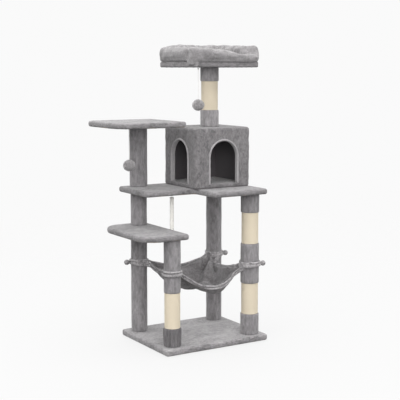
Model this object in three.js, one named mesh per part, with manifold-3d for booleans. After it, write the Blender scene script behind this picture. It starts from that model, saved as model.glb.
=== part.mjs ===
// Multi-level cat tree: a plush-covered base, four posts, three platforms, a two-door house, a padded
// perch, a hammock slung between the posts, two pompoms on strings and a hanging rope.
// Millimetres, +Z up, +X to the right along the base's long side, +Y to the back.
// The origin is the centre of the base's underside.
import * as THREE from "three";
import { mergeVertices } from "three/addons/utils/BufferGeometryUtils.js";
import Module from "manifold-3d";

const wasm = await Module();
wasm.setup();

// ---- driving dimensions ----
const baseWidth = 550;
const baseDepth = 444;
const baseThick = 30;
const baseCornerR = 14;
const postInset = 64; // post axis from the base's edges

const skin = 3.2; // plush glued round boards and walls
const fitGap = 0.3; // clearance between pieces that touch
const platformThick = 27;
const edgeR = 18; // ordinary corner of a platform, seen from above

const lowerLevel = 516; // underside of the lower platform
const lowerToMiddle = 157; // post between the lower and middle platforms
const sidePostLength = 286; // post between the middle and side platforms
const lowerBigR = 98; // the lower platform's two outer corners
const lowerRightReach = 64; // platform edges from the left posts' axes
const lowerLeftReach = 171;
const lowerRearReach = 67;
const lowerFrontReach = 52;

const middleRightReach = 41; // middle platform edges from the posts' axes
const middleRearReach = 50;
const middleFrontReach = 91;
const middleLeftReach = 84;

const sideRightReach = 108; // side platform edges from its post's axis
const sideRearReach = 68;
const sideWidth = 351;
const sideDepth = 340;
const sideFrontR = 112; // the side platform's two outer corners
const sideRearR = 52;

const houseWidth = 300;
const houseDepth = 300;
const houseHeight = 280;
const houseCornerR = 20;
const wallThick = 12;
const houseRightGap = 8; // house wall to the middle platform's edges
const houseRearGap = 20;
const notchPastWall = 14; // the platform's notch corner from the house's front left corner
const notchPastFront = 35;
const archWidth = 150;
const archHeight = 202;
const archSill = 18;

const perchSize = 342;
const perchThick = 25;
const perchCornerR = 12;
const perchPostLength = 278;
const perchPostShiftX = 7; // perch post from the middle of the roof
const perchPostShiftY = -13;
const perchShiftX = -5; // middle of the perch from its post
const bolsterWidth = 66;
const bolsterHeight = 87;
const bolsterDip = 36; // how far the rim drops at the entry
const bolsterProud = 14; // the rim stands this far past the tray
const bolsterOuterR = 46;
const bolsterInnerR = 24;
const rollSquareness = 0.75; // 1 is a round roll, and less is a squarer one
const padThick = 26;
const padCornerR = 36;
const padClearance = 2; // pad edge to the rim
const entryShare = 0.08; // middle of the entry, as a share of the way round from the front middle
const entrySpread = 0.055;

const slimTubeR = 33;
const thickTubeR = 36;
const tubeWall = 4;
const plugThick = 20; // wooden plug glued in each end of a tube
const slimPlush = 4.9;
const sidePlush = 5.2;
const thickPlush = 7.2;
const slimSisal = 3.0;
const thickSisal = 3.6;

const frontLeftSisal = [85, 246]; // sisal winding, from the foot of each post
const frontRightSisals = [
  [99, 245],
  [434, 580],
];
const perchSisal = [78, 213];

const boltR = 4;
const boltHeadR = 9;
const boltHeadThick = 2.9;
const boltPast = 8; // bolt end past the plug
const holeR = boltR + fitGap;
const headHoleR = boltHeadR + 0.6;

const hammockLevel = 364; // where the corner loops go round the posts
const hammockThick = 3;
const hammockSag = 118;
const hammockFrontSag = 98;
const hammockRearSag = 24;
const hammockSideSag = 30;
const hammockTuck = 0.09; // how far the free edges draw in, as a share of the span
const hammockCornerX = 26; // sheet corner from the post's axis
const hammockCornerY = 20;
const loopR = 6.5;
const stopperR = 11; // stuffed ball that ends each corner strap

const pompomR = 28;
const pompomSquash = 0.92;
const stringR = 1;
const knotR = 3;
const knotDrop = 7.5; // knot below the staple it swings from
const perchToyDrop = 172; // staple to pompom centre
const sideToyDrop = 174;
const perchToyShift = [-125, -102]; // staple from the perch post's axis
const sideToyShift = [-107, -112]; // staple from the side post's axis

const ropeR = 10;
const ropeLength = 262; // from below its eye to the end knot
const ropeNeck = 19;
const ropeEyeR = 5;
const ropeEyeDrop = 9;
const ropeKnotR = 16;
const ropeFromLower = 42; // rope axis from the lower platform's right edge
const ropeY = 28;

const round = 24; // sides of a post
const small = 12; // sides of a bolt
const stringSides = 8;
const ropeSides = 10;
const ballSides = 14;
const ballRings = 9;
const bolsterSteps = 4; // steps on each half side and on each corner of the rim
const bolsterSides = 12;
const archSegments = 14;
const hammockColumns = 16;
const hammockRows = 12;
const past = 1; // cutting solids run this far past a face
const pi = Math.PI;

// ---- places worked out from the sizes above ----
const postX = baseWidth / 2 - postInset;
const postY = baseDepth / 2 - postInset;
const lowerTop = lowerLevel + platformThick;
const middleLevel = lowerTop + lowerToMiddle;
const middleTop = middleLevel + platformThick;
const sideLevel = middleTop + sidePostLength;
const roofTop = middleTop + houseHeight;
const perchLevel = roofTop + perchPostLength;
const perchTop = perchLevel + perchThick;
const wrap = skin + fitGap; // board face to plush face

const middleEdge = {
  left: -postX - middleLeftReach,
  right: postX + middleRightReach,
  rear: postY + middleRearReach,
  front: -postY - middleFrontReach,
};
const house = {
  right: middleEdge.right - houseRightGap,
  rear: middleEdge.rear - houseRearGap,
};
house.left = house.right - houseWidth;
house.front = house.rear - houseDepth;
house.x = (house.left + house.right) / 2;
house.y = (house.front + house.rear) / 2;
const perchX = house.x + perchPostShiftX;
const perchY = house.y + perchPostShiftY;

// ---- outlines: a list of corners { x, y, r }, anticlockwise ----
function rectangle(x0, y0, x1, y1, frontLeft, frontRight, rearRight, rearLeft) {
  return [
    { x: x0, y: y0, r: frontLeft },
    { x: x1, y: y0, r: frontRight },
    { x: x1, y: y1, r: rearRight },
    { x: x0, y: y1, r: rearLeft },
  ];
}

function cornerDirections(corners, i) {
  const n = corners.length;
  const here = new THREE.Vector2(corners[i].x, corners[i].y);
  const before = corners[(i + n - 1) % n];
  const after = corners[(i + 1) % n];
  const into = here.clone().sub(new THREE.Vector2(before.x, before.y)).normalize();
  const out = new THREE.Vector2(after.x, after.y).sub(here).normalize();
  return { here, into, out, convex: into.cross(out) > 0 };
}

// The same outline, a distance inside.
function inset(corners, distance) {
  return corners.map((corner, i) => {
    const { here, into, out, convex } = cornerDirections(corners, i);
    const a = new THREE.Vector2(-into.y, into.x);
    const b = new THREE.Vector2(-out.y, out.x);
    const mitre = a.clone().add(b).divideScalar(1 + a.dot(b));
    const moved = here.addScaledVector(mitre, distance);
    const r = convex ? Math.max(corner.r - distance, 0.5) : corner.r + distance;
    return { x: moved.x, y: moved.y, r };
  });
}

function arcSteps(r) {
  if (r > 60) return 8;
  return r > 8 ? 4 : 2;
}

function outlineShape(corners) {
  const points = [];
  corners.forEach((corner, i) => {
    const { here, into, convex } = cornerDirections(corners, i);
    const side = convex ? 1 : -1;
    const inward = new THREE.Vector2(-into.y, into.x);
    const start = here.clone().addScaledVector(into, -corner.r);
    const centre = start.clone().addScaledVector(inward, side * corner.r);
    const from = Math.atan2(start.y - centre.y, start.x - centre.x);
    const steps = arcSteps(corner.r);
    for (let k = 0; k <= steps; k += 1) {
      const angle = from + (side * (pi / 2) * k) / steps;
      const spoke = new THREE.Vector2(Math.cos(angle), Math.sin(angle));
      points.push(centre.clone().addScaledVector(spoke, corner.r));
    }
  });
  return new THREE.Shape(points);
}

// ---- solids ----
function prism(shape, low, high) {
  const geometry = new THREE.ExtrudeGeometry(shape, { depth: high - low, bevelEnabled: false });
  return geometry.translate(0, 0, low);
}

// A turned solid from its profile of [radius, height] pairs, standing on its axis.
function turned(profile, x, y, sides) {
  const points = profile.map(([r, h]) => new THREE.Vector2(r, h));
  const geometry = new THREE.LatheGeometry(points, sides);
  return geometry.rotateX(pi / 2).translate(x, y, 0);
}

function solid(geometry) {
  const bare = geometry.clone();
  bare.deleteAttribute("normal");
  bare.deleteAttribute("uv");
  const merged = mergeVertices(bare, 1e-3);
  const triVerts = merged.index
    ? new Uint32Array(merged.index.array)
    : Uint32Array.from({ length: merged.attributes.position.count }, (_, i) => i);
  const vertProperties = merged.attributes.position.array;
  return new wasm.Manifold(new wasm.Mesh({ numProp: 3, vertProperties, triVerts }));
}

function geometryOf(manifold) {
  const mesh = manifold.getMesh();
  const geometry = new THREE.BufferGeometry();
  geometry.setAttribute("position", new THREE.BufferAttribute(new Float32Array(mesh.vertProperties), 3));
  geometry.setIndex(new THREE.BufferAttribute(new Uint32Array(mesh.triVerts), 1));
  return geometry;
}

function cut(geometry, ...tools) {
  const made = tools.reduce((body, tool) => body.subtract(solid(tool)), solid(geometry));
  return geometryOf(made);
}

function join(geometry, ...others) {
  const made = others.reduce((body, other) => body.add(solid(other)), solid(geometry));
  return geometryOf(made);
}

function common(a, b) {
  return geometryOf(solid(a).intersect(solid(b)));
}

function cylinder(x, y, r, low, high, sides) {
  return turned([[0, low], [r, low], [r, high], [0, high]], x, y, sides);
}

function ring(x, y, inner, outer, low, high) {
  return turned([[inner, low], [outer, low], [outer, high], [inner, high], [inner, low]], x, y, round);
}

// ---- materials ----
const material = (color, roughness, metalness = 0) =>
  new THREE.MeshStandardMaterial({ color, roughness, metalness });
const plush = material(0x98959a, 0.95);
const board = material(0xc7a978, 0.8);
const darkBoard = material(0x2e2a2d, 0.85);
const cardboard = material(0xa98a62, 0.9);
const sisal = material(0xdcd0b4, 0.9);
const steel = material(0xb4b6b8, 0.35, 1);
const cord = material(0xd8d6d2, 0.8);

const tree = new THREE.Group();
function add(name, geometry, finish) {
  const mesh = new THREE.Mesh(geometry, finish);
  mesh.name = name;
  tree.add(mesh);
}

// ---- boards and their plush covers ----
// A hole goes through the board and the plush: [x, y]. A peg is a dowel glued in the board's underside.
function platform(name, corners, low, thick, { through = [], pegs = [], heads = [] }) {
  const high = low + thick;
  const holes = [...through, ...heads].map(([x, y]) => cylinder(x, y, holeR, low - past, high + past, small));
  const dowels = pegs.map(([x, y]) => cylinder(x, y, boltR, low - plugThick, low + wrap + past, small));
  const plank = cut(prism(outlineShape(inset(corners, wrap)), low + wrap, high - wrap), ...holes);
  add(`${name}_board`, dowels.length ? join(plank, ...dowels) : plank, board);

  const pegHoles = pegs.map(([x, y]) => cylinder(x, y, holeR, low - past, low + wrap, small));
  const headHoles = heads.map(([x, y]) => cylinder(x, y, headHoleR, high - wrap, high + past, small));
  const hollow = prism(outlineShape(inset(corners, skin)), low + skin, high - skin);
  const cover = cut(prism(outlineShape(corners), low, high), hollow, ...holes, ...pegHoles, ...headHoles);
  add(`${name}_cover`, cover, plush);
}

const rearLeft = [-postX, postY];
const frontLeft = [-postX, -postY];
const rearRight = [postX, postY];
const frontRight = [postX, -postY];

function base() {
  const r = baseCornerR;
  const corners = rectangle(-baseWidth / 2, -baseDepth / 2, baseWidth / 2, baseDepth / 2, r, r, r, r);
  const spots = [rearLeft, frontLeft, rearRight, frontRight];
  const holes = spots.map(([x, y]) => cylinder(x, y, holeR, -past, baseThick + past, small));
  const plank = prism(outlineShape(inset(corners, wrap)), wrap, baseThick - wrap);
  add("base_board", cut(plank, ...holes), board);

  const hollow = prism(outlineShape(inset(corners, skin)), skin, baseThick - skin);
  const heads = spots.map(([x, y]) => cylinder(x, y, headHoleR, -past, skin + past, small));
  // The skin is plush above and round the edges, and the liner under the middle is one with it.
  add("base_cover", cut(prism(outlineShape(corners), 0, baseThick), hollow, ...holes, ...heads), plush);
}

function platforms() {
  const lower = rectangle(
    -postX - lowerLeftReach,
    -postY - lowerFrontReach,
    -postX + lowerRightReach,
    postY + lowerRearReach,
    lowerBigR,
    edgeR,
    edgeR,
    lowerBigR,
  );
  platform("lower_platform", lower, lowerLevel, platformThick, { through: [rearLeft], pegs: [frontLeft] });

  const notchX = house.left + notchPastWall;
  const notchY = house.front + notchPastFront;
  const middle = [
    { x: middleEdge.left, y: notchY, r: edgeR },
    { x: notchX, y: notchY, r: edgeR },
    { x: notchX, y: middleEdge.front, r: edgeR },
    { x: middleEdge.right, y: middleEdge.front, r: edgeR },
    { x: middleEdge.right, y: middleEdge.rear, r: edgeR },
    { x: middleEdge.left, y: middleEdge.rear, r: edgeR },
  ];
  const fixings = { through: [rearLeft], pegs: [frontRight], heads: [rearRight] };
  platform("middle_platform", middle, middleLevel, platformThick, fixings);

  const sideRight = -postX + sideRightReach;
  const sideRear = postY + sideRearReach;
  const side = rectangle(
    sideRight - sideWidth,
    sideRear - sideDepth,
    sideRight,
    sideRear,
    sideFrontR,
    edgeR,
    edgeR,
    sideRearR,
  );
  platform("side_platform", side, sideLevel, platformThick, { pegs: [rearLeft] });
}

// ---- posts: cardboard tube with glued end plugs, plush sleeves and sisal windings ----
function tube(name, [x, y], r, low, high) {
  const bore = r - tubeWall;
  const foot = low + fitGap;
  const head = high - fitGap;
  const profile = [
    [holeR, foot],
    [r, foot],
    [r, head],
    [holeR, head],
    [holeR, head - plugThick],
    [bore, head - plugThick],
    [bore, foot + plugThick],
    [holeR, foot + plugThick],
    [holeR, foot],
  ];
  add(`${name}_tube`, turned(profile, x, y, round), cardboard);
}

function sleeve(name, [x, y], r, thick, low, high, finish) {
  add(name, ring(x, y, r + fitGap, r + fitGap + thick, low + fitGap, high - fitGap), finish);
}

function posts() {
  const frontPost = lowerLevel;
  tube("front_left_post", frontLeft, slimTubeR, baseThick, frontPost);
  const [from, to] = frontLeftSisal.map((h) => baseThick + h);
  sleeve("front_left_post_lower_sleeve", frontLeft, slimTubeR, slimPlush, baseThick, from, plush);
  sleeve("front_left_post_sisal", frontLeft, slimTubeR, slimSisal, from, to, sisal);
  sleeve("front_left_post_upper_sleeve", frontLeft, slimTubeR, slimPlush, to, frontPost, plush);

  const rearSections = [
    ["rear_left_post_lower", slimTubeR, slimPlush, baseThick, lowerLevel],
    ["rear_left_post_middle", slimTubeR, slimPlush, lowerTop, middleLevel],
    ["rear_left_post_upper", thickTubeR, sidePlush, middleTop, sideLevel],
  ];
  rearSections.forEach(([name, r, thick, low, high]) => {
    tube(name, rearLeft, r, low, high);
    sleeve(`${name}_sleeve`, rearLeft, r, thick, low, high, plush);
  });

  tube("rear_right_post", rearRight, slimTubeR, baseThick, middleLevel);
  sleeve("rear_right_post_sleeve", rearRight, slimTubeR, slimPlush, baseThick, middleLevel, plush);

  tube("front_right_post", frontRight, thickTubeR, baseThick, middleLevel);
  const [[a, b], [c, d]] = frontRightSisals.map((pair) => pair.map((h) => baseThick + h));
  sleeve("front_right_post_lower_sleeve", frontRight, thickTubeR, thickPlush, baseThick, a, plush);
  sleeve("front_right_post_lower_sisal", frontRight, thickTubeR, thickSisal, a, b, sisal);
  sleeve("front_right_post_middle_sleeve", frontRight, thickTubeR, thickPlush, b, c, plush);
  sleeve("front_right_post_upper_sisal", frontRight, thickTubeR, thickSisal, c, d, sisal);
  sleeve("front_right_post_upper_sleeve", frontRight, thickTubeR, thickPlush, d, middleLevel, plush);

  const perch = [perchX, perchY];
  tube("perch_post", perch, thickTubeR, roofTop, perchLevel);
  const [e, f] = perchSisal.map((h) => roofTop + h);
  sleeve("perch_post_lower_sleeve", perch, thickTubeR, thickPlush, roofTop, e, plush);
  sleeve("perch_post_sisal", perch, thickTubeR, thickSisal, e, f, sisal);
  sleeve("perch_post_upper_sleeve", perch, thickTubeR, thickPlush, f, perchLevel, plush);
}

// ---- bolts and studs ----
// The flat head stands at one end and the shank runs from it to the tip.
function bolt(name, [x, y], headFace, tip) {
  const up = tip > headFace ? 1 : -1;
  const neck = headFace + up * boltHeadThick;
  const head = [[0, headFace], [boltHeadR, headFace], [boltHeadR, neck]];
  const profile = [...head, [boltR, neck], [boltR, tip], [0, tip]];
  add(name, turned(up > 0 ? profile : profile.reverse(), x, y, small), steel);
}

function fasteners() {
  const grip = plugThick + boltPast;
  bolt("base_bolt_front_left", frontLeft, fitGap, baseThick + grip);
  bolt("base_bolt_rear_left", rearLeft, fitGap, baseThick + grip);
  bolt("base_bolt_rear_right", rearRight, fitGap, baseThick + grip);
  bolt("base_bolt_front_right", frontRight, fitGap, baseThick + grip);
  const studs = [
    ["lower_platform_stud", lowerLevel, lowerTop],
    ["middle_platform_stud", middleLevel, middleTop],
  ];
  studs.forEach(([name, low, high]) => {
    add(name, cylinder(...rearLeft, boltR, low - grip, high + grip, small), steel);
  });
  bolt("middle_platform_bolt", rearRight, middleTop - fitGap, middleLevel - grip);
  const ceiling = roofTop - wrap - wallThick;
  bolt("roof_bolt", [perchX, perchY], ceiling - fitGap - boltHeadThick, roofTop + grip);
  bolt("perch_bolt", [perchX, perchY], perchTop - fitGap, perchLevel - grip);
}

// ---- house ----
// A doorway with a round top, standing on a sill, as a solid that runs along +Y from y0 to y1.
function arch(centre, y0, y1) {
  const r = archWidth / 2;
  const low = middleTop + archSill;
  const spring = low + archHeight - r;
  const shape = new THREE.Shape();
  shape.moveTo(centre - r, low);
  shape.lineTo(centre + r, low);
  shape.lineTo(centre + r, spring);
  shape.absarc(centre, spring, r, 0, pi, false);
  shape.closePath();
  const settings = { depth: y1 - y0, bevelEnabled: false, curveSegments: archSegments };
  const geometry = new THREE.ExtrudeGeometry(shape, settings);
  return geometry.rotateX(pi / 2).translate(0, y1, 0);
}

function catHouse() {
  const r = houseCornerR;
  const corners = rectangle(house.left, house.front, house.right, house.rear, r, r, r, r);
  const floor = middleTop + fitGap;
  const wallTop = roofTop - wrap - wallThick - fitGap;
  const core = prism(outlineShape(inset(corners, wrap)), floor, wallTop);
  const box = (x0, y0, x1, y1) => {
    const geometry = new THREE.BoxGeometry(x1 - x0, y1 - y0, wallTop - floor);
    return geometry.translate((x0 + x1) / 2, (y0 + y1) / 2, (floor + wallTop) / 2);
  };
  const left = house.left + wrap;
  const right = house.right - wrap;
  const front = house.front + wrap;
  const rear = house.rear - wrap;
  const t = wallThick;
  const g = fitGap;

  const depth = wrap + t + 2 * past; // a doorway goes right through cover and panel
  const frontArch = arch(house.x, house.front - past, house.front - past + depth);
  const sideArch = arch(house.y, 0, depth).rotateZ(pi / 2).translate(house.left - past + depth, 0, 0);
  add("house_left_panel", cut(common(core, box(left, front, left + t, rear)), sideArch), darkBoard);
  add("house_right_panel", common(core, box(right - t, front, right, rear)), darkBoard);
  const frontWall = common(core, box(left + t + g, front, right - t - g, front + t));
  add("house_front_panel", cut(frontWall, frontArch), darkBoard);
  add("house_rear_panel", common(core, box(left + t + g, rear - t, right - t - g, rear)), darkBoard);

  // A plush-covered board between the walls, level with the doorways' sills.
  const room = outlineShape(inset(corners, wrap + t + g));
  add("house_floor", prism(room, floor, middleTop + archSill - g), plush);

  const spindle = cylinder(perchX, perchY, holeR, wallTop - past, roofTop + past, small);
  const roofLow = roofTop - wrap - wallThick;
  const roof = prism(outlineShape(inset(corners, wrap)), roofLow, roofTop - wrap);
  add("house_roof_board", cut(roof, spindle), darkBoard);

  const hollow = prism(outlineShape(inset(corners, skin)), floor - past, roofTop - skin);
  const shell = prism(outlineShape(corners), floor, roofTop);
  add("house_cover", cut(shell, hollow, sideArch, frontArch, spindle), plush);
}

// ---- perch: wrapped tray, rolled rim and loose pad ----
// Points round a rounded square, anticlockwise from its front middle, the same count for any radius.
function roundSquare(half, r) {
  const straight = half - r;
  const points = [];
  for (let side = 0; side < 4; side += 1) {
    const turn = (side * pi) / 2;
    const place = (x, y) => points.push(new THREE.Vector2(x, y).rotateAround(new THREE.Vector2(), turn));
    for (let k = 0; k < bolsterSteps; k += 1) place((straight * k) / bolsterSteps, -half);
    for (let k = 0; k < bolsterSteps; k += 1) {
      const angle = ((k / bolsterSteps) - 1) * (pi / 2);
      place(straight + r * Math.cos(angle), -straight + r * Math.sin(angle));
    }
    for (let k = 0; k < bolsterSteps; k += 1) place(half, -straight * (1 - k / bolsterSteps));
  }
  return points;
}

// A closed sweep through rings of points: it joins end to end both ways.
function closedSweep(rings) {
  const n = rings.length;
  const m = rings[0].length;
  const positions = rings.flat().flatMap((p) => [p.x, p.y, p.z]);
  const index = [];
  for (let i = 0; i < n; i += 1) {
    for (let j = 0; j < m; j += 1) {
      const a = i * m + j;
      const b = ((i + 1) % n) * m + j;
      const c = ((i + 1) % n) * m + ((j + 1) % m);
      const d = i * m + ((j + 1) % m);
      index.push(a, b, c, a, c, d);
    }
  }
  const geometry = new THREE.BufferGeometry();
  geometry.setAttribute("position", new THREE.Float32BufferAttribute(positions, 3));
  geometry.setIndex(index);
  return geometry;
}

// The rim drops on the right of the front, where the cat steps in.
function bolsterRise(share) {
  return bolsterHeight - bolsterDip * Math.exp(-(((share - entryShare) / entrySpread) ** 2));
}

// The roll fills the space between an outer and an inner rounded square.
function bolster() {
  const middle = perchX + perchShiftX;
  const outerHalf = perchSize / 2 + bolsterProud;
  const outer = roundSquare(outerHalf, bolsterOuterR);
  const inner = roundSquare(outerHalf - bolsterWidth, bolsterInnerR);
  const flatter = (value) => Math.sign(value) * Math.abs(value) ** rollSquareness;
  const highest = flatter(Math.cos(pi / bolsterSides));
  const rings = outer.map((rim, i) => {
    const rise = bolsterRise(i / outer.length);
    const section = [];
    for (let j = 0; j < bolsterSides; j += 1) {
      const angle = (2 * pi * (j + 0.5)) / bolsterSides;
      const across = inner[i].clone().lerp(rim, (1 + flatter(Math.cos(angle))) / 2);
      const up = (rise / 2) * (1 + flatter(Math.sin(angle)) / highest);
      section.push(new THREE.Vector3(middle + across.x, perchY + across.y, perchTop + fitGap + up));
    }
    return section;
  });
  return closedSweep(rings);
}

function perch() {
  const middle = perchX + perchShiftX;
  const half = perchSize / 2;
  const r = perchCornerR;
  const corners = rectangle(middle - half, perchY - half, middle + half, perchY + half, r, r, r, r);
  platform("perch", corners, perchLevel, perchThick, { heads: [[perchX, perchY]] });
  add("perch_bolster", bolster(), plush);
  const room = bolsterWidth - bolsterProud + padClearance;
  const pad = inset(corners, room).map((corner) => ({ ...corner, r: padCornerR }));
  const low = perchTop + fitGap;
  add("perch_pad", prism(outlineShape(pad), low, low + padThick), plush);
}

// ---- hammock: a sagging sheet whose corners end in loops round the four posts ----
// A point of the sheet. Its front right corner keeps further from the post there, which is thicker.
function hammockPoint(u, v) {
  const thicker = ((1 + u) * (1 - v) * (thickTubeR + thickPlush - slimTubeR - slimPlush)) / 4;
  const reachX = postX - hammockCornerX - thicker;
  const reachY = postY - hammockCornerY - thicker;
  const x = reachX * u * (1 - hammockTuck * (1 - v * v));
  const y = reachY * v * (1 - hammockTuck * (1 - u * u));
  const alongFront = (1 - u * u) * (v < 0 ? hammockFrontSag : hammockRearSag) * v * v;
  const alongSides = (1 - v * v) * hammockSideSag * u * u;
  const middle = (1 - u * u) * (1 - v * v) * hammockSag;
  return new THREE.Vector3(x, y, hammockLevel - alongFront - alongSides - middle);
}

function sheet(columns, rows) {
  const positions = [];
  for (const side of [0, 1]) {
    for (let j = 0; j <= rows; j += 1) {
      for (let i = 0; i <= columns; i += 1) {
        const p = hammockPoint((2 * i) / columns - 1, (2 * j) / rows - 1);
        positions.push(p.x, p.y, p.z + (side - 0.5) * hammockThick);
      }
    }
  }
  const layer = (columns + 1) * (rows + 1);
  const at = (i, j, side) => side * layer + j * (columns + 1) + i;
  const index = [];
  const quad = (a, b, c, d) => index.push(a, b, c, a, c, d);
  for (let j = 0; j < rows; j += 1) {
    for (let i = 0; i < columns; i += 1) {
      quad(at(i, j, 1), at(i + 1, j, 1), at(i + 1, j + 1, 1), at(i, j + 1, 1));
      quad(at(i, j, 0), at(i, j + 1, 0), at(i + 1, j + 1, 0), at(i + 1, j, 0));
    }
  }
  for (let i = 0; i < columns; i += 1) {
    quad(at(i, 0, 0), at(i + 1, 0, 0), at(i + 1, 0, 1), at(i, 0, 1));
    quad(at(i + 1, rows, 0), at(i, rows, 0), at(i, rows, 1), at(i + 1, rows, 1));
  }
  for (let j = 0; j < rows; j += 1) {
    quad(at(0, j + 1, 0), at(0, j, 0), at(0, j, 1), at(0, j + 1, 1));
    quad(at(columns, j, 0), at(columns, j + 1, 0), at(columns, j + 1, 1), at(columns, j, 1));
  }
  const geometry = new THREE.BufferGeometry();
  geometry.setAttribute("position", new THREE.Float32BufferAttribute(positions, 3));
  geometry.setIndex(index);
  return geometry;
}

// A strap round a post, ending in a stuffed ball on the side that it faces.
function strap([x, y], postR, facing) {
  const r = postR + fitGap + loopR;
  const band = new THREE.TorusGeometry(r, loopR, 6, round).translate(x, y, hammockLevel);
  const out = r + stopperR;
  return [band, ball(x + out * Math.cos(facing), y + out * Math.sin(facing), hammockLevel, stopperR, 1)];
}

function hammock() {
  const slim = slimTubeR + fitGap + slimPlush;
  const thick = thickTubeR + fitGap + thickPlush;
  const corners = [
    [rearLeft, slim, 0.9 * pi],
    [frontLeft, slim, 0.33 * pi],
    [rearRight, slim, -0.1 * pi],
    [frontRight, thick, -0.1 * pi],
  ];
  const straps = corners.flatMap(([place, r, facing]) => strap(place, r, facing));
  const low = hammockLevel - hammockSag;
  const high = hammockLevel + hammockSag;
  const clearance = corners.map(([[x, y], r]) => cylinder(x, y, r + fitGap, low, high, round));
  add("hammock", cut(join(sheet(hammockColumns, hammockRows), ...straps), ...clearance), plush);
}

// ---- toys that swing: a knot at the staple turns one way, and the string and pompom on it the other ----
function ball(x, y, z, r, squash) {
  const geometry = new THREE.SphereGeometry(r, ballSides, ballRings);
  return geometry.rotateX(pi / 2).scale(1, 1, squash).translate(x, y, z);
}

// A straight hanging cord, as a tube of one section swept down a line.
function hangingCord(x, y, r, low, high, sides) {
  const path = new THREE.LineCurve3(new THREE.Vector3(x, y, low), new THREE.Vector3(x, y, high));
  const points = Array.from({ length: sides }, (_, i) => {
    const angle = (2 * pi * i) / sides;
    return new THREE.Vector2(r * Math.cos(angle), r * Math.sin(angle));
  });
  const steps = Math.min(80, Math.ceil((high - low) / (5 * r)));
  return new THREE.ExtrudeGeometry(new THREE.Shape(points), { extrudePath: path, steps });
}

function toy(name, x, y, level, drop) {
  const knotZ = level - knotDrop;
  const centre = level - drop;
  add(`${name}_knot`, ball(x, y, knotZ, knotR, 1), cord);
  const low = centre + pompomR * pompomSquash + fitGap;
  const high = knotZ - knotR - fitGap;
  add(`${name}_string`, hangingCord(x, y, stringR, low, high, stringSides), cord);
  add(`${name}_pompom`, ball(x, y, centre, pompomR, pompomSquash), plush);
}

function hangingRope() {
  const x = -postX + lowerRightReach + ropeFromLower;
  const high = middleLevel - ropeNeck;
  const low = high - ropeLength;
  add("hanging_rope_eye", ball(x, ropeY, middleLevel - ropeEyeDrop, ropeEyeR, 1), cord);
  add("hanging_rope", hangingCord(x, ropeY, ropeR, low, high, ropeSides), cord);
  add("hanging_rope_end_knot", ball(x, ropeY, low - fitGap - ropeKnotR, ropeKnotR, 1), cord);
}

base();
platforms();
posts();
fasteners();
catHouse();
perch();
hammock();
toy("perch_toy", perchX + perchToyShift[0], perchY + perchToyShift[1], perchLevel, perchToyDrop);
toy("side_toy", rearLeft[0] + sideToyShift[0], rearLeft[1] + sideToyShift[1], sideLevel, sideToyDrop);
hangingRope();

export default tree;
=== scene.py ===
import math
import random

import bmesh
import bpy
import numpy as np
from mathutils import Matrix, Vector, noise


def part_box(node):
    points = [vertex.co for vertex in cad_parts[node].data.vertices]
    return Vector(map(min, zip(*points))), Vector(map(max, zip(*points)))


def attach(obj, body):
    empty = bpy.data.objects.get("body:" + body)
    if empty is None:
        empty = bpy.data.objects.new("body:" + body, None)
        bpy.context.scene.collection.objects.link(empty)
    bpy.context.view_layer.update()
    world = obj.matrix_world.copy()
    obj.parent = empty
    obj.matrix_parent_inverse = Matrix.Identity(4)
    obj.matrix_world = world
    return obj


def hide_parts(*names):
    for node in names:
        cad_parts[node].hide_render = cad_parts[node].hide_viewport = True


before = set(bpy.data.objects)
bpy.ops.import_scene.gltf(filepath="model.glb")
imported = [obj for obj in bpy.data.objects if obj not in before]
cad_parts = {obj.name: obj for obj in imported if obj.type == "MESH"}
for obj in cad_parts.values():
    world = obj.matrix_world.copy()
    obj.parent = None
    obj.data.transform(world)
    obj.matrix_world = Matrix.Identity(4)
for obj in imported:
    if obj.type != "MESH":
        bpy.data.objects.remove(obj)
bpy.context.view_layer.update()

random.seed(7)
scene = bpy.context.scene


# ---------------------------------------------------------------------------------------------
# Base. A particle board wrapped in short grey plush, which is pulled tight round the edges,
# turned under by 40 mm and stapled. A thin liner closes the middle of the underside.
# ---------------------------------------------------------------------------------------------
BASE_CORNER = 0.014
BASE_EDGE = 0.0085
BASE_HEM = 0.040
UP = Vector((0, 0, 1))


def node(tree, kind, values=None, **settings):
    """A shader node with its settings, and values for its sockets."""
    made = tree.nodes.new("ShaderNode" + kind)
    for name, setting in settings.items():
        setattr(made, name, setting)
    for socket, value in (values or {}).items():
        made.inputs[socket].default_value = value
    return made


def wire(tree, *joins):
    """Links sockets, each join given as a node, its output, another node and its input."""
    for source, out, target, into in joins:
        tree.links.new(source.outputs[out], target.inputs[into])


def ramp(tree, *stops):
    """A colour ramp with stops of (place, colour)."""
    made = node(tree, "ValToRGB")
    elements = made.color_ramp.elements
    for k, (place, colour) in enumerate(stops):
        stop = elements[k] if k < 2 else elements.new(place)
        stop.position = place
        stop.color = (*colour, 1.0)
    return made


def new_material(name, values):
    """A material with values set on its shader, its node tree and the shader."""
    material = bpy.data.materials.new(name)
    material.use_nodes = True
    tree = material.node_tree
    shader = tree.nodes["Principled BSDF"]
    for socket, value in values.items():
        shader.inputs[socket].default_value = value
    return material, tree, shader


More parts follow.
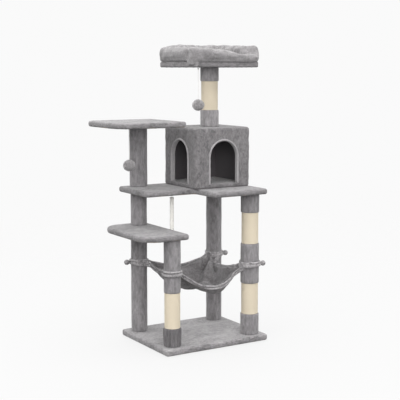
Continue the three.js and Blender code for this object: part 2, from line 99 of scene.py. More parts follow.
def pile_group():
    """Short brushed plush: patches where the pile lies another way, a fine mottle, and a bump."""
    group = bpy.data.node_groups.new("Brushed pile", "ShaderNodeTree")
    for label, kind, value in (
        ("Colour", "Color", (0.3, 0.3, 0.3, 1.0)),
        ("Patch size", "Float", 22.0),
        ("Patch depth", "Float", 0.16),
        ("Mottle", "Float", 0.14),
        ("Pile bump", "Float", 0.5),
        ("Nap", "Vector", (1.0, 1.0, 1.0)),
    ):
        made = group.interface.new_socket(label, in_out="INPUT", socket_type="NodeSocket" + kind)
        made.default_value = value
    for label, kind in (("Colour", "Color"), ("Roughness", "Float"), ("Normal", "Vector")):
        group.interface.new_socket(label, in_out="OUTPUT", socket_type="NodeSocket" + kind)
    start, end = group.nodes.new("NodeGroupInput"), group.nodes.new("NodeGroupOutput")
    place = node(group, "TexCoord")
    brushed = node(group, "VectorMath", operation="MULTIPLY")
    patch = node(group, "TexNoise", {"Detail": 3.0, "Distortion": 1.2})
    mottle = node(group, "TexNoise", {"Scale": 105.0, "Detail": 5.0, "Roughness": 0.72, "Distortion": 0.6})
    tuft = node(group, "TexVoronoi", {"Scale": 560.0})
    both = node(group, "Math")
    tufts = node(group, "Math", {1: -0.12}, operation="MULTIPLY_ADD")
    value = node(group, "Math", {1: 1.06})
    shade = node(group, "VectorMath", operation="SCALE")
    rough = node(group, "MapRange", {"To Min": 0.82, "To Max": 0.98})
    height = node(group, "Math", {1: -0.5}, operation="MULTIPLY_ADD")
    bump = node(group, "Bump", {"Distance": 0.0022})
    for k, (texture, depth) in enumerate(((patch, "Patch depth"), (mottle, "Mottle"))):
        centred = node(group, "Math", {1: 0.5}, operation="SUBTRACT")
        times = node(group, "Math", operation="MULTIPLY")
        wire(group, (texture, "Fac", centred, 0), (centred, 0, times, 0), (start, depth, times, 1),
             (times, 0, both, k))
    wire(
        group,
        (place, "Object", brushed, 0), (start, "Nap", brushed, 1), (brushed, 0, patch, "Vector"),
        (brushed, 0, mottle, "Vector"), (place, "Object", tuft, "Vector"),
        (start, "Patch size", patch, "Scale"),
        (tuft, "Distance", tufts, 0), (both, 0, tufts, 2), (tufts, 0, value, 0),
        (start, "Colour", shade, 0), (value, 0, shade, "Scale"), (shade, 0, end, "Colour"),
        (mottle, "Fac", rough, "Value"), (rough, 0, end, "Roughness"),
        (tuft, "Distance", height, 0), (mottle, "Fac", height, 2), (start, "Pile bump", bump, "Strength"),
        (height, 0, bump, "Height"), (bump, 0, end, "Normal"),
    )
    return group


PILE = pile_group()


def plush_material(name, colour, patch_size=22.0, patch_depth=0.8, mottle=1.5, bump=0.6, sheen=0.25,
                   nap=(1, 1, 1)):
    material, tree, shader = new_material(
        name, {"Sheen Weight": sheen, "Sheen Roughness": 0.5, "Specular IOR Level": 0.2})
    pile = node(tree, "Group", {
        "Colour": (*colour, 1.0), "Patch size": patch_size, "Patch depth": patch_depth,
        "Mottle": mottle, "Pile bump": bump, "Nap": nap,
    }, node_tree=PILE)
    wire(tree, (pile, "Colour", shader, "Base Color"), (pile, "Roughness", shader, "Roughness"),
         (pile, "Normal", shader, "Normal"))
    return material


# The base's plush is a lighter copy of the platforms' grey plush: painted light, standing in for light on the
# base's top where the tree above shades it.
LIT_BASE_PLUSH = plush_material("Base plush, painted lighter", (0.262, 0.252, 0.258), 9.0, 1.5, 2.4, nap=(0.6, 1.0, 1.0))


def outline(corners, inset=0.0):
    """Points round a list of (x, y, radius) corners, anticlockwise and moved in by inset.

    The count doesn't depend on the inset, so that outlines of one list join into rings."""
    total = len(corners)
    arcs = []
    for i, (x, y, radius) in enumerate(corners):
        here = Vector((x, y))
        into = (here - Vector(corners[i - 1][:2])).normalized()
        out = (Vector(corners[(i + 1) % total][:2]) - here).normalized()
        left = Vector((-into.y, into.x))
        here = here + (left + Vector((-out.y, out.x))) * inset
        turn = 1 if into.cross(out) > 0 else -1
        r = max(radius - turn * inset, 0.0005)
        start = here - into * r
        centre = start + left * (turn * r)
        first = math.atan2(start.y - centre.y, start.x - centre.x)
        steps = 14 if radius > 0.03 else 7
        turns = [first + turn * k / steps * math.pi / 2 for k in range(steps + 1)]
        arcs.append([centre + r * Vector((math.cos(a), math.sin(a))) for a in turns])
    points = []
    for i, arc in enumerate(arcs):
        points += arc
        span = (Vector(corners[(i + 1) % total][:2]) - Vector(corners[i][:2])).length
        steps = max(2, round(span / 0.012))
        after = arcs[(i + 1) % total][0]
        points += [arc[-1].lerp(after, k / steps) for k in range(1, steps)]
    return points


def ring_faces(rings, closed=False):
    """Quads between neighbouring rings of the same number of points."""
    size = len(rings[0])
    faces = []
    for i in range(len(rings) if closed else len(rings) - 1):
        a, b = i * size, ((i + 1) % len(rings)) * size
        for j in range(size):
            k = (j + 1) % size
            faces.append((a + j, a + k, b + k, b + j))
    return faces


def joined(rings, closed=False):
    """Points and faces of rings in order, which run round to the first or have both ends capped."""
    points = [p for ring in rings for p in ring]
    faces = ring_faces(rings, closed)
    if not closed:
        size = len(rings[0])
        faces += [tuple(reversed(range(size))), tuple(range(len(points) - size, len(points)))]
    return points, faces


def levelled(corners, levels):
    """Rings of one outline at levels of (inset, height)."""
    return [[Vector((p.x, p.y, z)) for p in outline(corners, inset)] for inset, z in levels]


def mesh_of(name, points, faces):
    """A mesh with its faces turned out."""
    mesh = bpy.data.meshes.new(name)
    mesh.from_pydata([tuple(p) for p in points], [], faces)
    turned = bmesh.new()
    turned.from_mesh(mesh)
    bmesh.ops.recalc_face_normals(turned, faces=turned.faces)
    turned.to_mesh(mesh)
    turned.free()
    return mesh


def placed(name, mesh):
    """An object of a mesh, in the scene."""
    made = bpy.data.objects.new(name, mesh)
    scene.collection.objects.link(made)
    return made


def smooth(mesh):
    mesh.polygons.foreach_set("use_smooth", [True] * len(mesh.polygons))


def new_piece(name, points, faces, material, slot, body="root", stands_for=()):
    """A smooth piece with its finish and its CAD body."""
    mesh = mesh_of(name, points, faces)
    smooth(mesh)
    mesh.materials.append(material)
    piece = placed(name, mesh)
    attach(piece, body)
    if stands_for:
        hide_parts(*stands_for)
    return piece


def slab(name, corners, low, high, edge, material, stands_for=(), wave=0.0012, rows=1):
    """A wrapped board: an outline with soft edges above and below, and slightly uneven sides."""
    rings = []
    quarter = [k / 5 * math.pi / 2 for k in range(6)]
    levels = [(edge + 0.004, low)]
    levels += [(edge * (1 - math.sin(a)), low + edge * (1 - math.cos(a))) for a in quarter]
    levels += [(0.0, low + edge + (high - low - 2 * edge) * k / rows) for k in range(1, rows)]
    levels += [(edge * (1 - math.cos(a)), high - edge * (1 - math.sin(a))) for a in quarter]
    levels += [(edge + 0.004, high)]
    for inset, z in levels:
        ring = []
        for p, inner in zip(outline(corners, inset), outline(corners, inset + 0.001)):
            push = wave * noise.noise(Vector((p.x * 19, p.y * 19, z * 30)))
            moved = p + (p - inner).normalized() * push
            ring.append(Vector((moved.x, moved.y, z)))
        rings.append(ring)
    return new_piece(name, *joined(rings), material, "plush", stands_for=stands_for)


def rectangle(cad_node, front_left, front_right, rear_right, rear_left):
    """The corners of a CAD node's box seen from above, with a radius for each."""
    low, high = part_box(cad_node)
    return [
        (low.x, low.y, front_left),
        (high.x, low.y, front_right),
        (high.x, high.y, rear_right),
        (low.x, high.y, rear_left),
    ]


base_low, base_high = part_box("base_cover")
base_corners = rectangle("base_cover", *[BASE_CORNER] * 4)
slab("base_plush", base_corners, base_low.z + 0.0016, base_high.z, BASE_EDGE, LIT_BASE_PLUSH, ["base_cover"])


def chip_material(name, colour, dark, size):
    """Pressed wood chips, or paper pulp at a smaller size."""
    material, tree, shader = new_material(name, {"Roughness": 0.85})
    place = node(tree, "TexCoord")
    chips = node(tree, "TexVoronoi", {"Scale": size})
    grain = node(tree, "TexNoise", {"Scale": size * 2.3})
    tone = ramp(tree, (0.0, dark), (1.0, colour))
    mix = node(tree, "Math", {1: 0.6}, operation="MULTIPLY_ADD")
    bump = node(tree, "Bump", {"Distance": 0.0006, "Strength": 0.5})
    wire(tree, (place, "Object", chips, "Vector"), (place, "Object", grain, "Vector"), (grain, "Fac", mix, 0),
         (chips, "Color", mix, 2), (mix, 0, tone, "Fac"), (tone, "Color", shader, "Base Color"),
         (mix, 0, bump, "Height"), (bump, 0, shader, "Normal"))
    return material


def felt_material(name, colour):
    """Thin needle felt: a fine tangle of fibres."""
    material, tree, shader = new_material(name, {"Roughness": 0.93, "Sheen Weight": 0.15})
    place = node(tree, "TexCoord")
    fibre = node(tree, "TexNoise", {"Scale": 420.0, "Detail": 5.0, "Distortion": 2.0})
    tone = ramp(tree, (0.3, [c * 0.72 for c in colour]), (0.7, [c * 1.25 for c in colour]))
    bump = node(tree, "Bump", {"Distance": 0.0008, "Strength": 0.6})
    wire(tree, (place, "Object", fibre, "Vector"), (fibre, "Fac", tone, "Fac"),
         (tone, "Color", shader, "Base Color"), (fibre, "Fac", bump, "Height"), (bump, 0, shader, "Normal"))
    return material


def dress(material, *names):
    """Gives CAD nodes their finish."""
    for name in names:
        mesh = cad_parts[name].data
        mesh.materials.clear()
        mesh.materials.append(material)


PARTICLE_BOARD = chip_material("Particle board", (0.60, 0.44, 0.26), (0.33, 0.21, 0.11), 260.0)
dress(PARTICLE_BOARD, "base_board", "lower_platform_board", "middle_platform_board")
dress(PARTICLE_BOARD, "side_platform_board", "perch_board")

LINER = felt_material("Base liner", (0.030, 0.030, 0.032))
rings = levelled(base_corners, [(BASE_HEM, base_low.z + 0.0018), (BASE_HEM, base_low.z + 0.0006)])
new_piece("base_liner_sheet", *joined(rings), LINER, "dark_board")


def steel_material():
    """Zinc-plated steel, finely brushed along the turning marks."""
    material, tree, shader = new_material("Zinc-plated steel", {"Metallic": 1.0})
    place = node(tree, "TexCoord")
    marks = node(tree, "TexNoise", {"Scale": 900.0})
    tone = ramp(tree, (0.0, (0.42, 0.43, 0.45)), (1.0, (0.66, 0.66, 0.67)))
    rough = node(tree, "MapRange", {"To Min": 0.28, "To Max": 0.46})
    wire(tree, (place, "Object", marks, "Vector"), (marks, "Fac", tone, "Fac"),
         (marks, "Fac", rough, "Value"),
         (tone, "Color", shader, "Base Color"), (rough, 0, shader, "Roughness"))
    return material


STEEL = steel_material()
STAPLE = Vector((0.0055, 0.0006, 0.0004))


def box_shape(points, faces, centre, along, across, up):
    """Adds a small block, given by its centre and its three half sides, to lists of points and faces."""
    first = len(points)
    for sz in (-1, 1):
        for sx, sy in ((-1, -1), (1, -1), (1, 1), (-1, 1)):
            points.append(centre + along * sx + across * sy + up * sz)
    for quad in ((0, 3, 2, 1), (4, 5, 6, 7), (0, 1, 5, 4), (1, 2, 6, 5), (2, 3, 7, 6), (3, 0, 4, 7)):
        faces.append(tuple(first + k for k in quad))


def staples(name, corners, inset, z, spacing=0.034):
    """A row of staples along an outline, pressed into the underside."""
    path = outline(corners, inset)
    points, faces = [], []
    travelled = spacing
    for a, b in zip(path, path[1:] + path[:1]):
        travelled += (b - a).length
        if travelled < spacing:
            continue
        travelled = 0.0
        along = Vector((b - a).to_tuple() + (0.0,)).normalized()
        across = Vector((-along.y, along.x, 0.0))
        tilt = Matrix.Rotation(random.uniform(-0.25, 0.25), 3, "Z")
        centre = Vector((a.x, a.y, z - 0.0003))
        box_shape(points, faces, centre, tilt @ along * STAPLE.x, tilt @ across * STAPLE.y, UP * STAPLE.z)
    return new_piece(name, points, faces, STEEL, "steel")


# The plush turned under the base ends in a hem, stapled just outside the liner.
staples("base_staples", base_corners, BASE_HEM - 0.008, base_low.z + 0.0016)


# ---------------------------------------------------------------------------------------------
# Bolts and studs. Four bolts come up through the base into the posts, two studs join the lengths
# of the rear left post, and one bolt each holds the rear right post, the perch post and the tray.
# ---------------------------------------------------------------------------------------------
dress(STEEL, *[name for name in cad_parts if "_bolt" in name or name.endswith("_stud")])


# ---------------------------------------------------------------------------------------------
# Posts. Spiral-wound cardboard tubes with a wooden plug in each end. Plush is sewn into sleeves
# with a seam down the back and pulled over them, and sisal cord is wound and glued between.
# ---------------------------------------------------------------------------------------------
CARDBOARD = chip_material("Cardboard tube", (0.50, 0.37, 0.24), (0.34, 0.24, 0.15), 700.0)
dress(CARDBOARD, *[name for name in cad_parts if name.endswith("_tube")])
LONG_NAP = (1.0, 1.0, 0.3)
POST_PLUSH = plush_material("Post plush", (0.238, 0.228, 0.235), 30.0, 1.0, 1.6, 0.7, 0.3, LONG_NAP)
RIBBED_PLUSH = plush_material("Worn post plush", (0.150, 0.143, 0.148), 38.0, 0.8, 1.3, 0.8, 0.25, LONG_NAP)
# A lighter copy of the post plush for the perch post: painted light, making up for the shade under the tray.
LIT_PERCH_POST_PLUSH = plush_material("Perch post plush, painted lighter", (0.300, 0.288, 0.295), 30.0, 1.0, 1.6, 0.7, 0.3,
                                  LONG_NAP)
SLEEVE_AROUND = 72
SLEEVE_WALL = 0.0028
SEAM_DEPTH = 0.0022
RIBS_AROUND = 17
RIB_DEPTH = 0.0030


def sleeve(cad_node, material, ribs=0.0):
    """A sewn tube of plush with turned-in rims, a pressed-in seam at the back and loose folds."""
    low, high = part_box(cad_node)
    centre = (low + high) / 2
    radius = (high.x - low.x) / 2
    height = high.z - low.z
    rim = min(0.006, height / 5)
    levels = [(-SLEEVE_WALL, 0.0), (-rim * 0.45, 0.0), (-rim * 0.12, rim * 0.3)]
    rows = max(3, round(height / 0.014))
    levels += [(0.0, rim + (height - 2 * rim) * k / rows) for k in range(rows + 1)]
    levels += [(-rim * 0.12, height - rim * 0.3), (-rim * 0.45, height), (-SLEEVE_WALL, height)]
    around = SLEEVE_AROUND * 3 if ribs else SLEEVE_AROUND
    rings = []
    for off, up in levels:
        ring = []
        for k in range(around):
            angle = 2 * math.pi * k / around
            spot = Vector((math.cos(angle) * 2.2, math.sin(angle) * 2.2, (low.z + up) * 15))
            uneven = 0.0009 * noise.noise(spot + Vector((centre.x * 9, 0, 0)))
            fold = math.sin(angle * RIBS_AROUND + 2.0 * noise.noise(spot * 0.7))
            fold *= 1 + 0.5 * noise.noise(spot)
            fold *= ribs * (1 + off / (rim * 0.45))
            away = abs((angle - math.pi / 2 + math.pi) % (2 * math.pi) - math.pi)
            groove = -SEAM_DEPTH * math.exp(-((away / 0.045) ** 2))
            reach = radius + off + (uneven + fold + groove if off > -SLEEVE_WALL else 0.0)
            x, y = centre.x + reach * math.cos(angle), centre.y + reach * math.sin(angle)
            ring.append(Vector((x, y, low.z + up)))
        rings.append(ring)
    name = cad_node.replace("_sleeve", "_plush")
    new_piece(name, *joined(rings, closed=True), material, "plush", stands_for=[cad_node])


for name in sorted(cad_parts):
    if name == "front_left_post_lower_sleeve":
        sleeve(name, RIBBED_PLUSH, RIB_DEPTH)
    elif name.startswith("perch_post") and name.endswith("_sleeve"):
        sleeve(name, LIT_PERCH_POST_PLUSH)
    elif name.endswith("_sleeve"):
        sleeve(name, POST_PLUSH)


# Sisal cord. Twisted from three strands and wound tight round the tube, with the ends tucked in.
SISAL_CORD = 0.0056
SISAL_AROUND = 72
SISAL_ACROSS = 8


def sisal_material():
    """Pale fibres along the cord, its three twisted strands, and darker gaps between the turns."""
    material, tree, shader = new_material("Sisal cord", {"Roughness": 0.88})
    place = node(tree, "UVMap", uv_map="Winding")
    stretch = node(tree, "Mapping", {"Scale": (900.0, 6.0, 1.0)})
    fibre = node(tree, "TexNoise", {"Scale": 1.0, "Detail": 4.0})
    twist = node(tree, "TexWave", {"Scale": 1.0, "Distortion": 1.2}, bands_direction="DIAGONAL")
    twist_place = node(tree, "Mapping", {"Scale": (150.0, 2.4, 1.0)})
    patches = node(tree, "TexNoise", {"Scale": 30.0})
    tone = ramp(tree, (0.34, (0.40, 0.32, 0.21)), (0.66, (0.70, 0.620, 0.485)))
    mix = node(tree, "Math", {1: 0.30}, operation="MULTIPLY_ADD")
    total = node(tree, "Math", {1: 0.50}, operation="MULTIPLY_ADD")
    bump = node(tree, "Bump", {"Distance": 0.0010, "Strength": 0.8})
    wire(tree, (place, "UV", stretch, "Vector"), (place, "UV", twist_place, "Vector"),
         (stretch, "Vector", fibre, "Vector"), (twist_place, "Vector", twist, "Vector"),
         (twist, "Fac", mix, 0), (fibre, "Fac", mix, 2), (patches, "Fac", total, 0), (mix, 0, total, 2),
         (total, 0, tone, "Fac"), (tone, "Color", shader, "Base Color"),
         (mix, 0, bump, "Height"), (bump, 0, shader, "Normal"))
    return material


SISAL = sisal_material()


def sisal(cad_node):
    """One cord wound up the tube: its outer half round shows, and the ends are pressed flat."""
    low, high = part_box(cad_node)
    centre = (low + high) / 2
    radius = (high.x - low.x) / 2
    height = high.z - low.z
    turns = round(height / SISAL_CORD)
    pitch = height / turns
    rows = turns * SISAL_ACROSS
    points, uv = [], []
    for row in range(-1, rows + 2):
        for k in range(SISAL_AROUND + 1):
            share = k / SISAL_AROUND
            angle = 2 * math.pi * share
            up = min(max(row / rows * height, 0.0), height)
            phase = (up / pitch - share) % 1.0
            swell = math.sqrt(max(0.0, 1 - (2 * phase - 1) ** 2 * 0.94))
            loose = 0.00035 * noise.noise(Vector((angle * 3, up / pitch - share, radius * 99)))
            depth = -0.0019 * (1 - swell) + loose
            if row < 0 or row > rows:
                depth = -0.0035
            reach = radius + depth - 0.0003
            across, deep = reach * math.cos(angle), reach * math.sin(angle)
            points.append((centre.x + across, centre.y + deep, low.z + up))
            uv.append((share * 2 * math.pi * radius, up / pitch - share))
    size = SISAL_AROUND + 1
    faces = []
    for i in range(rows + 2):
        for j in range(SISAL_AROUND):
            a = i * size + j
            faces.append((a, a + 1, a + size + 1, a + size))
    name = cad_node.replace("_sisal", "_cord")
    mesh = bpy.data.meshes.new(name)
    mesh.from_pydata(points, [], faces)
    smooth(mesh)
    mesh.materials.append(SISAL)
    layer = mesh.uv_layers.new(name="Winding")
    for loop in mesh.loops:
        layer.data[loop.index].uv = uv[loop.vertex_index]
    piece = placed(name, mesh)
    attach(piece, "root")
    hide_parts(cad_node)


for name in sorted(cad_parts):
    if name.endswith("sisal"):
        sisal(name)


# ---------------------------------------------------------------------------------------------
# Platforms. Three particle boards wrapped in plush like the base. The plush is turned under and
# stapled, and its raw edges are hidden by a patch of the same plush.
# ---------------------------------------------------------------------------------------------
PLATFORM_EDGE = 0.0095
PLATFORM_CORNER = 0.018
PLATFORM_HEM = 0.022
PLUSH = plush_material("Grey plush", (0.200, 0.192, 0.197), 18.0, 1.2, 2.3, nap=(0.6, 1.0, 1.0))
lower_corners = rectangle("lower_platform_cover", 0.098, PLATFORM_CORNER, PLATFORM_CORNER, 0.098)
side_corners = rectangle("side_platform_cover", 0.112, PLATFORM_CORNER, PLATFORM_CORNER, 0.052)
middle_low, middle_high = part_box("middle_platform_cover")
house_low, house_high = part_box("house_cover")
notch_x = house_low.x + 0.014
notch_y = house_low.y + 0.035
middle_corners = [(x, y, PLATFORM_CORNER) for x, y in (
    (middle_low.x, notch_y), (notch_x, notch_y), (notch_x, middle_low.y),
    (middle_high.x, middle_low.y), (middle_high.x, middle_high.y), (middle_low.x, middle_high.y),
)]


def platform(name, corners):
    low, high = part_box(name + "_cover")
    slab(name + "_plush", corners, low.z + 0.0012, high.z, PLATFORM_EDGE, PLUSH, [name + "_cover"])
    rings = levelled(corners, [(PLATFORM_HEM, low.z + 0.0018), (PLATFORM_HEM, low.z), (PLATFORM_HEM, low.z)])
    centre = sum(rings[0], Vector((0, 0, 0))) / len(rings[0])
    for p in rings[2]:
        p += (centre - p).normalized() * 0.0015
    new_piece(name + "_underside_patch", *joined(rings), PLUSH, "plush")
    staples(name + "_staples", corners, PLATFORM_HEM + 0.004, low.z, 0.030)


platform("lower_platform", lower_corners)
platform("middle_platform", middle_corners)
platform("side_platform", side_corners)


# ---------------------------------------------------------------------------------------------
# Cat house. Four thin board walls and a roof, wrapped in plush outside and lined in dark grey, made darker
# still as painted shade of the inside. A soft binding is rolled over the edge of each round-topped door and
# stitched down inside.
# ---------------------------------------------------------------------------------------------
HOUSE_CORNER = 0.020
HOUSE_EDGE = 0.011
SHELL = 0.009
DOOR_WIDTH = 0.150
DOOR_HEIGHT = 0.202
DOOR_SILL = 0.018
DOOR_IN = 0.150
HOUSE_PLUSH = plush_material("House plush", (0.166, 0.159, 0.163), 14.0, 1.1, 2.4, 0.7, 0.28, (1.0, 1.0, 0.6))
# The felt on the inside faces is a dark lining, made darker still as painted shade of the inside of the
# house.
LINING_AND_SHADE = felt_material("Dark lining with painted shade", (0.085, 0.077, 0.083))
dress(LINING_AND_SHADE, "house_left_panel", "house_right_panel", "house_front_panel", "house_rear_panel")
dress(LINING_AND_SHADE, "house_roof_board")
house_corners = rectangle("house_cover", *[HOUSE_CORNER] * 4)
house = slab("house_plush", house_corners, house_low.z, house_high.z, HOUSE_EDGE, HOUSE_PLUSH,
             ["house_cover"], wave=0.0022, rows=22)
DOORS = {
    "front": (Vector((house_low.x + DOOR_IN, house_low.y, house_low.z + DOOR_SILL)),
              Vector((1, 0, 0)), Vector((0, 1, 0))),
    "side": (Vector((house_low.x, house_low.y + DOOR_IN, house_low.z + DOOR_SILL)),
             Vector((0, -1, 0)), Vector((1, 0, 0))),
}


def doorway(sill, steps=24):
    """A door's edge, as (across, up) from the middle of its sill: up the right side, over and down."""
    half = DOOR_WIDTH / 2
    spring = DOOR_HEIGHT - half
    path = [(half, sill + (spring - sill) * k / 12) for k in range(12)]
    path += [(half * math.cos(math.pi * k / steps), spring + half * math.sin(math.pi * k / steps))
             for k in range(steps + 1)]
    path += [(-half, spring - (spring - sill) * k / 12) for k in range(1, 13)]
    return path


def settle(piece):
    """Puts the result of a piece's modifiers into its mesh and takes them off."""
    graph = bpy.context.evaluated_depsgraph_get()
    graph.update()
    finished = bpy.data.meshes.new_from_object(piece.evaluated_get(graph))
    before = piece.data
    piece.modifiers.clear()
    piece.data = finished
    bpy.data.meshes.remove(before)


def cut_away(piece, rings):
    """Takes a closed shape out of a piece."""
    mesh = mesh_of("Cutter", *joined(rings))
    cutter = placed("Cutter", mesh)
    difference = piece.modifiers.new("Cut", "BOOLEAN")
    difference.operation = "DIFFERENCE"
    difference.solver = "EXACT"
    difference.object = cutter
    settle(piece)
    bpy.data.objects.remove(cutter)
    bpy.data.meshes.remove(mesh)


cut_away(house, levelled(house_corners, [(SHELL, house_low.z - 0.02), (SHELL, house_high.z - SHELL)]))
for middle, across, inward in DOORS.values():
    cut_away(house, [[middle + across * a + UP * b + inward * depth for a, b in doorway(0.0)]
                     for depth in (-0.03, 0.03)])
smooth(house.data)
house.data.set_sharp_from_angle(angle=math.radians(50))

BINDING = plush_material("Door binding", (0.310, 0.299, 0.306), 30.0, 0.3, 0.6, 0.5, 0.3)
BEAD = 0.0046
BINDING_DEPTH = 0.0165


def swept(places, section, closed=False):
    """Points and faces of a section carried along places, each an origin and two directions."""
    rings = [[o + a * x + b * y for x, y in section(i)] for i, (o, a, b) in enumerate(places)]
    return joined(rings, closed)


def binding_section(i):
    """A fat roll outside and a band through the wall: (out from the door's edge, into the house)."""
    roll = BEAD * (1 + 0.07 * math.sin(i * 1.7) + 0.05 * math.sin(i * 0.61))
    shape = [(0.0026 + roll * math.cos(a), 0.0004 + roll * math.sin(a))
             for a in [math.radians(70 - 26 * k) for k in range(11)]]
    shape += [(-0.0014, 0.0055), (-0.0010, BINDING_DEPTH * 0.6), (-0.0014, BINDING_DEPTH)]
    shape += [(-0.0004, BINDING_DEPTH + 0.0018), (0.0012, BINDING_DEPTH + 0.0012)]
    shape.append((0.0016, BINDING_DEPTH * 0.5))
    return shape


for door, (middle, across, inward) in DOORS.items():
    edge = doorway(-0.0012)
    places = []
    for k, (a, b) in enumerate(edge):
        before, after = Vector(edge[max(k - 1, 0)]), Vector(edge[min(k + 1, len(edge) - 1)])
        way = (after - before).normalized()
        places.append((middle + across * a + UP * b, across * way.y - UP * way.x, inward))
    new_piece("house_" + door + "_door_binding", *swept(places, binding_section), BINDING, "plush")

# The floor is one more board wrapped in the same plush, laid between the walls.
floor_low, floor_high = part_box("house_floor")
slab("house_floor_plush", rectangle("house_floor", *[0.005] * 4), floor_low.z, floor_high.z + 0.0015, 0.006,
     HOUSE_PLUSH, ["house_floor"], wave=0.0006)


# ---------------------------------------------------------------------------------------------
# Perch. A wrapped tray on the tallest post. A stuffed plush rim is sewn to the tray's edge, full
# at the back and pressed down where the cat climbs in, and a loose pad lies inside it.
# ---------------------------------------------------------------------------------------------
TRAY_CORNER = 0.012
TRAY_HEM = 0.026
RIM_WIDTH = 0.066
RIM_OUTER = 0.046
BED_PLUSH = plush_material("Bed plush", (0.225, 0.216, 0.221), 20.0, 0.9, 1.6, 0.9, 0.35)
tray_low, tray_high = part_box("perch_cover")
rim_low, rim_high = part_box("perch_bolster")
pad_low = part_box("perch_pad")[0]
tray_corners = rectangle("perch_cover", *[TRAY_CORNER] * 4)
slab("perch_tray_plush", tray_corners, tray_low.z, tray_high.z + 0.001, 0.007, PLUSH, ["perch_cover"], 0.002)
staples("perch_tray_staples", tray_corners, TRAY_HEM, tray_low.z - 0.0002, 0.030)


def plump(piece, voxel, pressure, most):
    """Fills a closed piece like stuffing: cloth under pressure, which may move no further than most."""
    remesh = piece.modifiers.new("Remesh", "REMESH")
    remesh.mode = "VOXEL"
    remesh.voxel_size = voxel
    settle(piece)
    before = np.empty(len(piece.data.vertices) * 3)
    piece.data.vertices.foreach_get("co", before)
    cloth = piece.modifiers.new("Cloth", "CLOTH")
    cloth.settings.use_pressure = True
    cloth.settings.uniform_pressure_force = pressure
    cloth.settings.quality = 6
    cloth.settings.tension_stiffness = 12
    cloth.settings.compression_stiffness = 12
    cloth.settings.bending_stiffness = 0.4
    cloth.settings.effector_weights.gravity = 0.0
    cloth.collision_settings.use_collision = False
    cloth.point_cache.frame_start = 1
    cloth.point_cache.frame_end = 20
    for moment in range(1, 21):
        scene.frame_set(moment)
    graph = bpy.context.evaluated_depsgraph_get()
    after = np.empty_like(before)
    piece.evaluated_get(graph).data.vertices.foreach_get("co", after)
    piece.modifiers.clear()
    scene.frame_set(1)
    move = (after - before).reshape(-1, 3)
    length = np.linalg.norm(move, axis=1, keepdims=True)
    move *= np.minimum(1.0, most / np.maximum(length, 1e-9))
    piece.data.vertices.foreach_set("co", before + move.ravel())
    smooth(piece.data)


def finer(piece):
    """One subdivision, put into the mesh."""
    halves = piece.modifiers.new("Finer", "SUBSURF")
    halves.levels = 1
    halves.render_levels = 1
    settle(piece)
    smooth(piece.data)


def ease(value):
    """0 below 0, 1 above 1, and smooth between."""
    t = min(max(value, 0.0), 1.0)
    return t * t * (3 - 2 * t)


# The rim's height along the front, as (share of the front's length, height).
ENTRY = [
    (0.0, 0.0605), (0.2, 0.0580), (0.3, 0.0550), (0.41, 0.0510), (0.53, 0.0460), (0.60, 0.0400),
    (0.66, 0.0350), (0.74, 0.0315), (0.82, 0.0305), (0.92, 0.0310), (1.0, 0.0340),
]
# The stuffed roll's section from its foot outside, over the top and down inside: (across, up).
ROLL = [
    (0.60, 0.0), (0.78, 0.015), (0.90, 0.07), (0.965, 0.17), (0.99, 0.32), (0.99, 0.50), (0.97, 0.68),
    (0.90, 0.84), (0.76, 0.945), (0.52, 0.995), (0.22, 1.0), (-0.10, 1.0), (-0.40, 0.985), (-0.66, 0.93),
    (-0.86, 0.80), (-0.96, 0.60), (-0.98, 0.38), (-0.94, 0.18), (-0.82, 0.05), (-0.60, 0.0),
    (-0.30, 0.0), (0.0, 0.0), (0.30, 0.0),
]
# How far the first points of the section hang over the tray where the plush spills out.
HANG = (0.0, 0.021, 0.020, 0.010)
# Where the rolls are tucked into each other: (x, y) shares of the tray, how deep and how wide.
TUCKS = [
    (0.00, 0.20, 0.0085, 0.011), (0.02, 0.26, 0.0030, 0.008), (0.30, 0.00, 0.0022, 0.010),
    (0.99, 0.19, 0.0070, 0.012), (0.96, 0.96, 0.0060, 0.012), (0.05, 0.97, 0.0060, 0.012),
    (0.96, 0.45, 0.0030, 0.010), (0.96, 0.62, 0.0026, 0.010), (0.55, 0.98, 0.0025, 0.010),
]


def rim_rise(x, y):
    """How high the rim stands: fullest at the back, and pressed down along the front to its right end."""
    along = (x - rim_low.x) / (rim_high.x - rim_low.x)
    deep = (y - rim_low.y) / (rim_high.y - rim_low.y)
    full = 0.0640 + 0.007 * deep + 0.0125 * ease((along + 0.8 * deep - 0.7) / 0.45)
    front = np.interp(along, *zip(*ENTRY))
    entry = 1 - ease((y - rim_low.y - 0.006) / 0.030)
    uneven = 0.0018 * noise.noise(Vector((x * 9, y * 9, 3.0)))
    return full - (full - front) * entry + uneven


